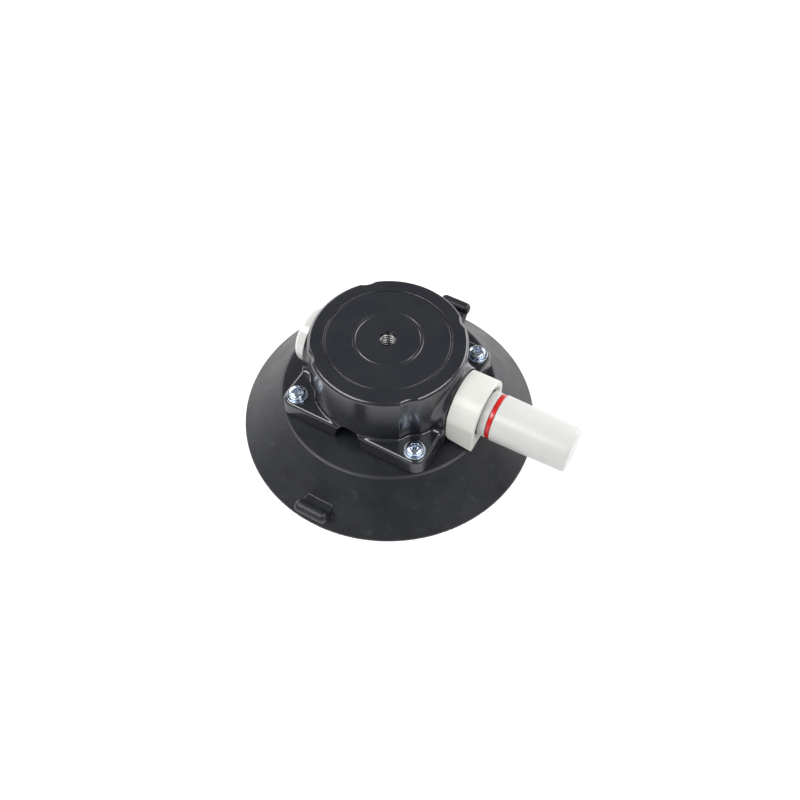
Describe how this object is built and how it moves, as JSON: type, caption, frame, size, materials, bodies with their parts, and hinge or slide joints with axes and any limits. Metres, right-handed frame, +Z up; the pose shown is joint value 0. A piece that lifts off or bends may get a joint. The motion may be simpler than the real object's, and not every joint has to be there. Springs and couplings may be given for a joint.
{
  "type": "vacuum suction cup",
  "caption": "Round rubber suction cup with a cast black housing, a tapped top face and a side hand pump with a white plunger and red vacuum-loss band.",
  "frame": {"origin": "centre of the cup's rim, on the plane where its lip seals", "axes": "+Z up the cup's axis out of the top face; +X along the pump, towards the plunger's button"},
  "size_m": [0.1311, 0.1176, 0.0457],
  "materials": {
    "cup_rubber": "matte black rubber with a faint dusty bloom",
    "black_enamel": "satin black enamel on cast aluminium",
    "zinc": "bright zinc plate",
    "steel": "plain steel",
    "white_plastic": "satin moulded white plastic",
    "red_plastic": "red band",
    "seal_rubber": "black seal rubber",
    "felt": "pale felt"
  },
  "bodies": {
    "cup": {"rubber_cup": "cup_rubber", "pad_plate": "steel", "housing": "black_enamel", "screw_1": "zinc", "screw_2": "zinc", "screw_3": "zinc", "screw_4": "zinc", "washer_1": "zinc", "washer_2": "zinc", "washer_3": "zinc", "washer_4": "zinc", "pump_barrel": "white_plastic", "barrel_end_cap": "white_plastic", "cap_o_ring": "seal_rubber", "pump_collar": "white_plastic", "wiper_ring": "seal_rubber", "stop_ring": "steel", "return_spring": "steel", "check_valve": "seal_rubber", "valve_retainer": "white_plastic", "port_filter": "felt"},
    "plunger": {"plunger_rod": "white_plastic", "vacuum_loss_band": "red_plastic", "plunger_grip": "white_plastic", "plunger_button": "white_plastic", "piston_head": "white_plastic", "piston_seal": "seal_rubber", "wear_ring": "felt"}
  },
  "joints": [
    {"name": "plunger_slide", "type": "slide", "parent": "cup", "child": "plunger", "axis": [1, 0, 0], "range_m": [-0.025, 0], "stiffness_N_per_m": 450, "springref_m": 0.012, "deforming": ["return_spring"]}
  ]
}
